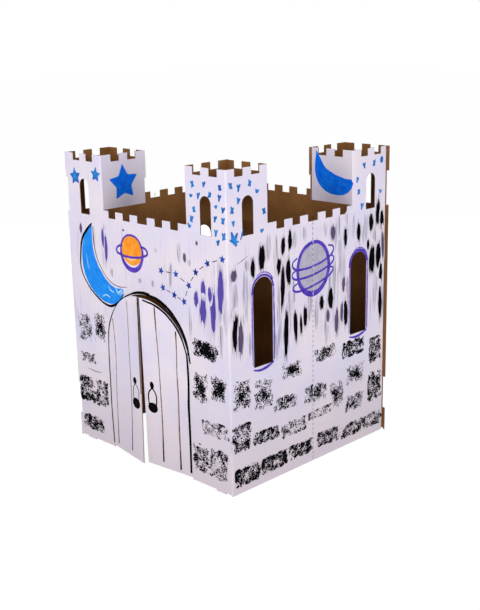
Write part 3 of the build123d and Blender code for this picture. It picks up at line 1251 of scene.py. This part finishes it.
    def split_at_crease(self, painter: Painter) -> None:
        """Cuts the skins that cross the wall's crease, so that the crease shows between them.

        Args:
            painter: who paints the wall.
        """
        wall = painter.wall
        crease = wall.corner + wall.right * WALL_MIDDLE * MM
        half = 2.1 * MM
        for skins in painter.skins.values():
            for skin in skins:
                runs = [(vertex.co - crease).dot(wall.right) for vertex in skin.data.vertices]
                if min(runs) > -half or max(runs) < half:
                    continue
                Bench.pick(skin)
                with Bench.shaping():
                    for side in (-half, half):
                        bpy.ops.mesh.select_all(action="SELECT")
                        bpy.ops.mesh.bisect(plane_co=crease + wall.right * side, plane_no=wall.right)
                    bpy.ops.mesh.select_all(action="DESELECT")
                for polygon in skin.data.polygons:
                    polygon.select = abs((polygon.center - crease).dot(wall.right)) < half * 0.98
                bpy.ops.object.mode_set(mode="EDIT")
                bpy.ops.mesh.select_mode(type="FACE")
                bpy.ops.mesh.delete(type="FACE")
                bpy.ops.mesh.select_mode(type="VERT")
                bpy.ops.mesh.select_all(action="SELECT")
                bpy.ops.mesh.fill_holes(sides=0)
                bpy.ops.object.mode_set(mode="OBJECT")

    def perforation(self, wall: Wall, name: str) -> bpy.types.Object:
        """Lays a row of short slits along a window wall's crease, 20 mm apart, each a dark lens of painted
        shade.

        Args:
            wall: the window wall.
            name: the piece's name.

        Returns:
            The slits, as dark lenses of painted shade in the bottom of the crease.
        """
        slits = []
        for up in range(14, 976, SLIT_PITCH):
            bpy.ops.mesh.primitive_circle_add(vertices=8, radius=0.5, fill_type="NGON", calc_uvs=True)
            slit = bpy.context.object
            Bench.size(slit, 3.8, 12.5)
            # Painted shade: the slit's dark inside, as a near-black lens
            slit.data.materials.append(SLIT_SHADE.material())
            Bench.finish_with(slit, "SOLIDIFY", thickness=0.15 * MM, offset=1.0)
            Bench.settle(slit, wall.place(WALL_MIDDLE, up, -0.55))
            slits.append(slit)
        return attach(Bench.join(name, slits), CASTLE)

    def panels(self) -> list[bpy.types.Object]:
        """Paints the big star and the crescent on the tower panels that look into the yard.

        Returns:
            The painted pieces.
        """
        star = Painter(self.castle.star_panel, 31)
        star.star("left_tower_star", DEEP_BLUE, 110, 1085, 74, 0.53, 3)
        moon = Painter(self.castle.moon_panel, 37)
        moon.stroke("right_tower_moon", DEEP_BLUE, (
            (33, 1189, 2), (42, 1148, 34), (52, 1114, 58), (71, 1087, 78), (101, 1068, 84), (134, 1060, 78),
            (166, 1059, 70), (193, 1068, 50), (213, 1082, 18),
        ))
        return star.hand_over() + moon.hand_over()

    def front_leaves(self) -> list[bpy.types.Object]:
        """Paints the planks, the doorway's outline and the pulls on the front leaves.

        Returns:
            The painted pieces.
        """
        left = Painter(self.castle.leaves["front_left"], 41)
        for path in (
            ((35, 562, 5), (43, 505, 4), (48, 412, 4), (42, 305, 4), (39, 176, 5), (37, 31, 7)),
            ((151, 657, 4), (154, 571, 4), (155, 459, 4), (159, 337, 4.5), (158, 213, 5), (149, 38, 7)),
        ):
            left.stroke("front_left_planks", PLANK_BROWN, path)
        left.stroke("front_left_planks", BLACK, ((37, 96, 2), (37, 62, 4), (37, 32, 6)))
        left.stroke("front_left_planks", BLACK, ((153, 130, 2), (151, 80, 4), (149, 39, 6)))
        left.stroke("front_left_pull", BLACK, ((231, 686, 9), (232, 590, 8), (232, 440, 7), (233, 300, 4)))
        self.pull(left, "front_left_pull", 190, 196, (26, 28), (56, 44), 4.5)
        right = Painter(self.castle.leaves["front_right"], 43)
        for path in (
            ((74, 662, 7), (78, 553, 5), (83, 454, 4), (85, 355, 4.5), (87, 202, 6), (84, 36, 8)),
            ((174, 583, 8), (175, 520, 5), (173, 422, 4.5), (175, 323, 6), (174, 171, 7), (175, 27, 9)),
        ):
            right.stroke("front_right_planks", PLANK_BROWN, path)
        right.stroke("front_right_planks", BLACK, ((86, 150, 2), (85, 90, 5), (84, 37, 7)))
        right.stroke("front_right_planks", BLACK, ((174, 110, 2), (175, 66, 5), (175, 28, 8)))
        jamb = (
            (224, 508, 8), (228, 433, 10), (228, 360, 10), (226, 305, 12), (227, 235, 11), (228, 159, 11),
            (228, 28, 10),
        )
        right.stroke("front_right_outline", BLACK, jamb)
        rim = [(x - self.arch_middle, y, w) for x, y, w in self.arc(229, 86, 12, 9, ends=0.7)]
        right.stroke("front_right_outline", BLACK, [knot for knot in rim if 4 < knot[0] < 229])
        self.pull(right, "front_right_pull", 41, 41, (21, 30), (50, 42), 6.5)
        return left.hand_over() + right.hand_over()

    def pull(
        self,
        painter: Painter,
        group: str,
        knob: float,
        ball: float,
        knob_size: tuple[float, float],
        ball_size: tuple[float, float],
        width: float,
    ) -> None:
        """Paints a ring pull: a knob, the ring's two sides and the heavy ball that closes it.

        Args:
            painter: who paints the leaf.
            group: the piece that the pull is part of.
            knob: the knob's middle along the leaf.
            ball: the ball's middle along the leaf.
            knob_size: the knob's width and height.
            ball_size: the ball's width and height.
            width: the ring's stroke.
        """
        painter.blob(group, BLACK, knob, 344, *knob_size, 6)
        painter.blob(group, BLACK, ball, 252, *ball_size)
        for side in (-1, 1):
            path = [(knob, 334, width)]
            path += [(ball + side * out, up, width) for out, up in ((18, 311), (21, 288), (18, 260))]
            painter.stroke(group, BLACK, path, rough=0.2)

    def rear_sides(self) -> list[bpy.types.Object]:
        """Paints the two walls and the leaves that face away from the camera, in the same plain style.

        Returns:
            The painted pieces, and the crease's slits in painted shade.
        """
        door = Painter(self.castle.rear_door_wall, 53)
        places = [
            (along, up, 80, 60, door.draw.uniform(0.4, 0.8), door.draw.uniform(-1, 1))
            for up in (75, 215, 360, 500)
            for along in (60, 152, 748, 840)
        ]
        door.stones("rear_stones", places)
        door.dabs("rear", self.scatter(door, (60, 840), (740, 930), 14))
        door.stroke("rear_door_outline", BLACK, [
            (207, 22, 6), (206, 270, 6), (207, 452, 6), *self.arc(243, 168, 12, 8, ends=1.0),
            (693, 452, 6), (694, 270, 6), (693, 22, 6),
        ])
        door.marks("rear_tower_marks", self.sown(door, (24, 190), (1000, 1150), (78, 130)))
        pieces = door.hand_over()
        window = Painter(self.castle.left_window_wall, 59)
        whole = [(along, 112) for along in range(75, 900, 150)]
        broken = [(41, 50), *((along, 112) for along in range(150, 800, 150)), (860, 50)]
        places = [
            (along, up, width, 48, window.draw.uniform(0.4, 0.9), window.draw.uniform(-1, 1))
            for up, course in ((68, whole), (170, broken), (270, whole), (370, broken))
            for along, width in course
        ]
        window.stones("left_stones", places)
        window.dabs("left", self.scatter(window, (30, 870), (480, 930), 42))
        self.window_frames(window, "left_window_outlines")
        window.marks("left_tower_marks", self.sown(window, (710, 876), (1000, 1150), (768, 824)))
        self.split_at_crease(window)
        pieces += window.hand_over()
        pieces.append(self.perforation(window.wall, "left_crease_slit_shade"))
        for name, knob, tops in (("rear_left", 196, (570, 640)), ("rear_right", 40, (640, 570))):
            leaf = Painter(self.castle.leaves[name], 61)
            for along, top in zip((60, 160), tops):
                plank = ((0, 1.0, 6), (3, 0.6, 4), (-2, 0.3, 5))
                path = [(along + off, top * share, width) for off, share, width in plank]
                leaf.stroke(name + "_planks", PLANK_BROWN, [*path, (along, 30, 7)])
            self.pull(leaf, name + "_pull", knob, knob, (22, 28), (48, 42), 5)
            pieces += leaf.hand_over()
        return pieces

    def scatter(self, painter: Painter, alongs: tuple[int, int], ups: tuple[int, int], count: int) -> tuple:
        """Draws places for upright dabs that keep clear of the wall's windows and of each other.

        Args:
            painter: who paints the wall.
            alongs: the range along the wall.
            ups: the range upwards.
            count: how many places to draw.

        Returns:
            For each dab along, up, width, height and a letter for its paint.
        """
        # Dabs end below the battlements' notches
        highest = 948
        places = []
        while len(places) < count:
            along, up = painter.draw.uniform(*alongs), painter.draw.uniform(*ups)
            width, height = painter.draw.uniform(14, 24), painter.draw.uniform(40, 100)
            apart = all(abs(along - other[0]) > 26 or abs(up - other[1]) > 80 for other in places)
            beside = min(abs(along - middle) for middle in WINDOW_MIDDLES) > 78
            if apart and beside and up + height < highest:
                places.append((along, up, width, height, "kgkvkg"[len(places) % 6]))
        return tuple(places)

    def sown(
        self, painter: Painter, alongs: tuple[int, int], ups: tuple[int, int], window: tuple[int, int]
    ) -> tuple:
        """Draws places for small marks on a tower's face, clear of its window.

        Args:
            painter: who paints the wall.
            alongs: the range along the wall.
            ups: the range upwards.
            window: the tower window's left and right sides.

        Returns:
            For each mark, along and up.
        """
        spots = [(along, up) for along in range(*alongs, 40) for up in range(*ups, 38)]
        left, right, top = window[0] - 20, window[1] + 20, 1125
        clear = [(along, up) for along, up in spots if not left <= along <= right or up > top]
        return tuple((x + painter.draw.uniform(-7, 7), y + painter.draw.uniform(-7, 7)) for x, y in clear)


@dataclass
class Studio:
    """Camera, floor and soft light."""

    WHITE: ClassVar[tuple[float, float, float, float]] = (1.0, 1.0, 1.0, 1.0)
    eye: tuple[float, float, float] = (2.90554, -2.82568, 1.66104)
    yaw: float = 45.042
    pitch: float = 15.189
    roll: float = 1.147
    lens: float = 60.27

    def camera(self) -> None:
        """Places the camera where the photograph was taken from."""
        data = bpy.data.cameras.new("studio_camera")
        data.lens = self.lens
        data.sensor_width = 36.0
        camera = bpy.data.objects.new("studio_camera", data)
        bpy.context.scene.collection.objects.link(camera)
        yaw, pitch, roll = (math.radians(angle) for angle in (self.yaw, self.pitch, self.roll))
        ahead = Vector((-math.sin(yaw) * math.cos(pitch), math.cos(yaw) * math.cos(pitch), -math.sin(pitch)))
        across = ahead.cross(Vector((0, 0, 1))).normalized()
        down = ahead.cross(across)
        right = across * math.cos(roll) + down * math.sin(roll)
        up = across * math.sin(roll) - down * math.cos(roll)
        axes = Matrix((right, up, -ahead)).transposed().to_4x4()
        camera.matrix_world = Matrix.Translation(self.eye) @ axes
        bpy.context.scene.camera = camera

    @staticmethod
    def seen(node: Adder) -> Node:
        """Tells the rays that see the plain white studio from those that carry light.

        Args:
            node: adds a node to the tree in hand.

        Returns:
            1 for a ray from the camera or off a gloss, else 0.
        """
        ray = node("LightPath").outputs
        return node("Math", {0: ray["Is Camera Ray"], 1: ray["Is Glossy Ray"]}, operation="MAXIMUM")

    def light(self) -> None:
        """Sets a bright horizon under a dark zenith, and three large soft lamps round the castle."""
        world = bpy.data.worlds.new("studio_world")
        bpy.context.scene.world = world
        world.use_nodes = True
        world.node_tree.nodes.clear()
        node = partial(add_node, world.node_tree)
        height = node("SeparateXYZ", {0: node("TexCoord").outputs["Generated"]}).outputs[2]
        level = node("MapRange", {0: height, 1: 0.0, 2: 0.42, 3: 1.12, 4: 0.05})
        sky = node("Background", {"Color": self.WHITE, "Strength": level})
        plain = node("Background", {"Color": self.WHITE, "Strength": 1.0})
        node("OutputWorld", {0: node("MixShader", {0: self.seen(node), 1: sky, 2: plain})})
        for name, place, size, power in (
            ("left_softbox", (0.2, -4.2, 1.9), 2.2, 112.0),
            ("right_softbox", (4.4, -0.4, 1.9), 2.2, 118.0),
            ("back_softbox", (-3.3, 3.5, 1.3), 2.0, 185.0),
        ):
            data = bpy.data.lights.new(name, "AREA")
            data.size = size
            data.energy = power
            lamp = bpy.data.objects.new(name, data)
            bpy.context.scene.collection.objects.link(lamp)
            lamp.location = place
            aim = Vector((0.0, 0.0, 0.6)) - Vector(place)
            lamp.rotation_euler = aim.to_track_quat("-Z", "Y").to_euler()

    def floor(self) -> None:
        """Lays a white floor that keeps a faint shadow."""
        bpy.ops.object.select_all(action="DESELECT")
        bpy.ops.mesh.primitive_plane_add(size=60.0)
        floor = bpy.context.object
        floor.name = "studio_floor"
        paint = bpy.data.materials.new("studio_floor_white")
        paint.use_nodes = True
        paint.node_tree.nodes.clear()
        node = partial(add_node, paint.node_tree)
        matt = node("BsdfDiffuse", {"Color": (0.42, 0.42, 0.42, 1.0)})
        glow = node("Emission", {"Color": self.WHITE, "Strength": 1.12})
        share = node("Math", {0: self.seen(node), 1: 0.88}, operation="MULTIPLY")
        node("OutputMaterial", {0: node("MixShader", {0: share, 1: matt, 2: glow})})
        floor.data.materials.append(paint)


@dataclass
class Castle:
    """The castle's faces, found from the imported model."""

    frame: dict
    half_side: float = WALL_MIDDLE
    near_tower: float = 207.0
    joint_tower: float = 216.0

    def __post_init__(self) -> None:
        """Finds the walls' planes and the leaves' hinges."""
        self.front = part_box("front_sheet")[0].y
        self.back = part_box("rear_sheet")[1].y
        self.middle = (self.front + self.back) / 2
        half = self.half_side * MM
        self.door_wall = Wall(-half, self.front, 0.0)
        self.window_wall = Wall(half, self.front, 90.0)
        self.rear_door_wall = Wall(half, self.back, 180.0)
        self.left_window_wall = Wall(-half, self.back, 270.0)
        self.star_panel = Wall(-half + self.joint_tower * MM, self.front, 90.0)
        self.moon_panel = Wall(half - self.joint_tower * MM, self.back - self.joint_tower * MM, 0.0)
        joints = {joint["name"]: joint for joint in self.frame["joints"]}
        self.leaves = {}
        for name, body, side, twist in (
            ("front_left", "front_left_leaf", -1, 1.9),
            ("front_right", "front_right_leaf", 1, -3.1),
            ("rear_left", "rear_left_leaf", -1, 0.0),
            ("rear_right", "rear_right_leaf", 1, 0.0),
        ):
            joint = joints[name + "_hinge"]
            x, y, _ = joint["pos_m"]
            ajar = -joint["range_deg"][0]
            heading = (180.0 if name.startswith("rear") else 0.0) + side * ajar
            start = Wall(x, y, heading)
            left = start.corner
            if side > 0:
                left -= start.right * LEAF_WIDTH * MM
            self.leaves[name] = Wall(left.x, left.y, heading, body, side, twist)

    def sheet_walls(self, turned: bool) -> list[Wall]:
        """The outer faces of one folded sheet.

        Args:
            turned: True for the rear sheet, which is the front one turned half round.

        Returns:
            The faces.
        """
        half, near, joint = self.half_side * MM, self.near_tower * MM, self.joint_tower * MM
        lap = (BOARD + LAP_GAP) * MM
        faces = [
            (0.0, self.front, 0),
            (half, 0.0, 90),
            (0.0, self.back - lap, 180),
            (half - near, 0.0, 270),
            (0.0, self.front + near, 180),
            (half - near + lap, 0.0, 270),
            (-half + joint, 0.0, 90),
            (half - joint + lap, 0.0, 270),
            (0.0, self.back - joint, 0),
        ]
        if not turned:
            return [Wall(x, y, heading) for x, y, heading in faces]
        # Faces 3 to 5 belong to the corner tower, which the rear sheet doesn't have
        kept = faces[:3] + faces[6:]
        return [Wall(-x, 2 * self.middle - y, (heading + 180) % 360) for x, y, heading in kept]

    def boards(self) -> list[bpy.types.Object]:
        """Dresses the two sheets and the four leaves.

        Returns:
            The dressed pieces.
        """
        pieces = [
            BoardPiece("front_sheet", CASTLE, self.sheet_walls(False)).build(self.frame),
            BoardPiece("rear_sheet", CASTLE, self.sheet_walls(True)).build(self.frame),
        ]
        for name, leaf in self.leaves.items():
            pieces.append(BoardPiece(name + "_door", leaf.body, [leaf], leaf).build(self.frame))
        return pieces


def main() -> None:
    """Builds the castle's looks and the studio round it."""
    logging.basicConfig(level=logging.INFO, format="%(message)s")
    bpy.context.scene.view_settings.view_transform = "Standard"
    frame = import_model()
    studio = Studio()
    studio.camera()
    castle = Castle(frame)
    pieces = castle.boards()
    brush = CastlePainter(castle)
    pieces += brush.front_door_wall()
    pieces += brush.front_window_wall()
    pieces += brush.panels()
    pieces += brush.front_leaves()
    pieces += brush.rear_sides()
    for piece in pieces:
        logging.info("made %s: %d faces", piece.name, len(piece.data.polygons))
    studio.light()
    studio.floor()


if __name__ == "__main__":
    main()
